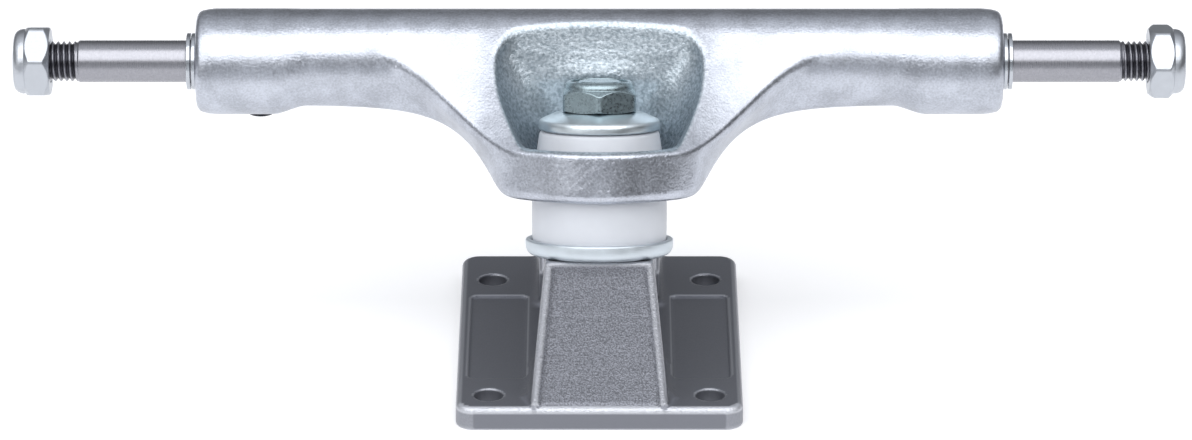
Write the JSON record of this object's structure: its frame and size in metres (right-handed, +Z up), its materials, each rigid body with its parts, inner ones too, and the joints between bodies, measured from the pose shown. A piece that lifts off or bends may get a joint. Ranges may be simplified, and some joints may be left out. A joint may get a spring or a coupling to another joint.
{
  "type": "skateboard truck",
  "caption": "Skateboard truck: cast hanger on a steel axle, urethane bushings on a leaning kingpin, and a baseplate with deck bolt holes; the hanger steers against the bushings.",
  "frame": {"origin": "centre of the deck bolt pattern, on the baseplate's underside", "axes": "+X along the axle to the right, +Y from the kingpin towards the pivot, +Z up from the deck face"},
  "size_m": [0.2208, 0.0726, 0.0658],
  "materials": {
    "baseplate": "gunmetal painted casting",
    "pivot_cup": "moulded urethane",
    "kingpin": "zinc plated",
    "cup_washers": "zinc plated, pressed",
    "bushings": "cast urethane, satin",
    "kingpin_nut": "zinc plated",
    "nylon": "nylon",
    "hanger": "tumbled and polished casting",
    "axle": "ground",
    "lock_pin": "dark steel",
    "speed_rings": "zinc plated",
    "axle_nuts": "zinc plated"
  },
  "bodies": {
    "base": {"baseplate": "baseplate", "pivot_cup": "pivot_cup", "kingpin": "kingpin", "bottom_washer": "cup_washers", "bottom_bushing": "bushings", "top_bushing": "bushings", "top_washer": "cup_washers"},
    "hanger_body": {"hanger": "hanger", "axle": "axle", "axle_lock_pin": "lock_pin"},
    "kingpin_nut_body": {"kingpin_nut": "kingpin_nut", "kingpin_nut_insert": "nylon"},
    "left_inner_speed_ring_body": {"left_inner_speed_ring": "speed_rings"},
    "left_outer_speed_ring_body": {"left_outer_speed_ring": "speed_rings"},
    "left_axle_nut_body": {"left_axle_nut": "axle_nuts", "left_axle_nut_insert": "nylon"},
    "right_inner_speed_ring_body": {"right_inner_speed_ring": "speed_rings"},
    "right_outer_speed_ring_body": {"right_outer_speed_ring": "speed_rings"},
    "right_axle_nut_body": {"right_axle_nut": "axle_nuts", "right_axle_nut_insert": "nylon"}
  },
  "joints": [
    {"name": "hanger_steer", "type": "hinge", "parent": "base", "child": "hanger_body", "pos_m": [0, 0.0222, 0.018], "axis": [0, 0.7828, -0.6223], "range_deg": [-18, 18], "stiffness_Nm_per_rad": 60, "deforming": ["bottom_bushing", "top_bushing"]},
    {"name": "kingpin_nut_turn", "type": "hinge", "parent": "base", "child": "kingpin_nut_body", "pos_m": [0, -0.00547, 0.05281], "axis": [0, 0.2756, 0.9613], "range_deg": [-180, 180]},
    {"name": "left_inner_speed_ring_spin", "type": "hinge", "parent": "hanger_body", "child": "left_inner_speed_ring_body", "pos_m": [-0.07652, 0.0123, 0.0558], "axis": [1, 0, 0], "continuous": true},
    {"name": "left_outer_speed_ring_spin", "type": "hinge", "parent": "hanger_body", "child": "left_outer_speed_ring_body", "pos_m": [-0.07748, 0.0123, 0.0558], "axis": [1, 0, 0], "continuous": true},
    {"name": "left_axle_nut_off", "type": "slide", "parent": "hanger_body", "child": "left_axle_nut_body", "axis": [-1, 0, 0], "range_m": [-0.005, 0.06]},
    {"name": "right_inner_speed_ring_spin", "type": "hinge", "parent": "hanger_body", "child": "right_inner_speed_ring_body", "pos_m": [0.07652, 0.0123, 0.0558], "axis": [1, 0, 0], "continuous": true},
    {"name": "right_outer_speed_ring_spin", "type": "hinge", "parent": "hanger_body", "child": "right_outer_speed_ring_body", "pos_m": [0.07748, 0.0123, 0.0558], "axis": [1, 0, 0], "continuous": true},
    {"name": "right_axle_nut_off", "type": "slide", "parent": "hanger_body", "child": "right_axle_nut_body", "axis": [1, 0, 0], "range_m": [-0.005, 0.06]}
  ]
}
